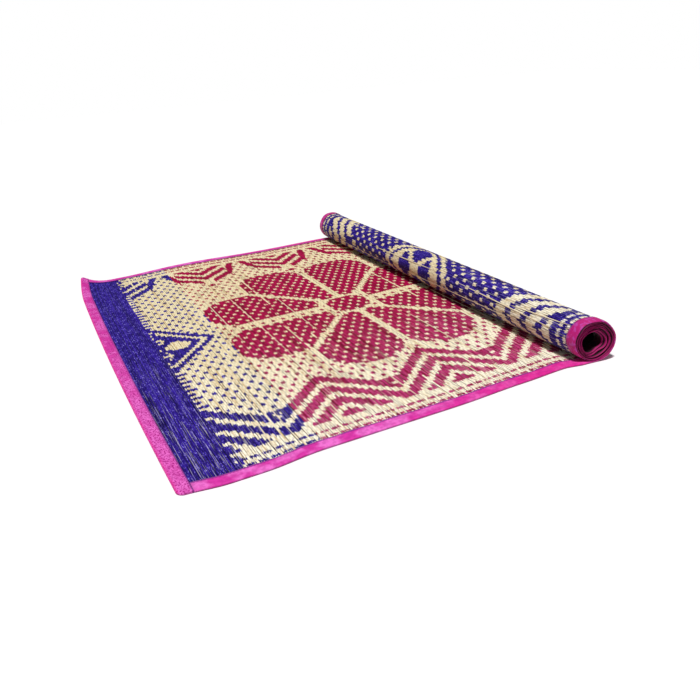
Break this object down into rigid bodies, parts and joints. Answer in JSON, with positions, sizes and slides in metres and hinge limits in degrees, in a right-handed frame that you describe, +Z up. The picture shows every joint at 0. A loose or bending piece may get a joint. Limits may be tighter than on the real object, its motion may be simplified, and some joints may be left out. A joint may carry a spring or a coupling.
{
  "type": "grass yoga mat",
  "caption": "Woven sedge-grass yoga mat with cloth tape bound over its edges, flat at one end and rolled up on its face at the other.",
  "frame": {"origin": "middle of the whole mat's footprint, on the floor", "axes": "+X along the mat from its free end to the roll, +Y across the mat to the far side, +Z up"},
  "size_m": [0.6596, 0.912, 0.0651],
  "materials": {
    "woven_sedge": "dry woven sedge with dyed violet and maroon pattern, low sheen",
    "binding_tape": "thin magenta cloth tape, soft sheen"
  },
  "bodies": {
    "root": {"grass_panel": "woven_sedge", "binding_near": "binding_tape", "binding_far": "binding_tape", "binding_end": "binding_tape"}
  },
  "joints": []
}
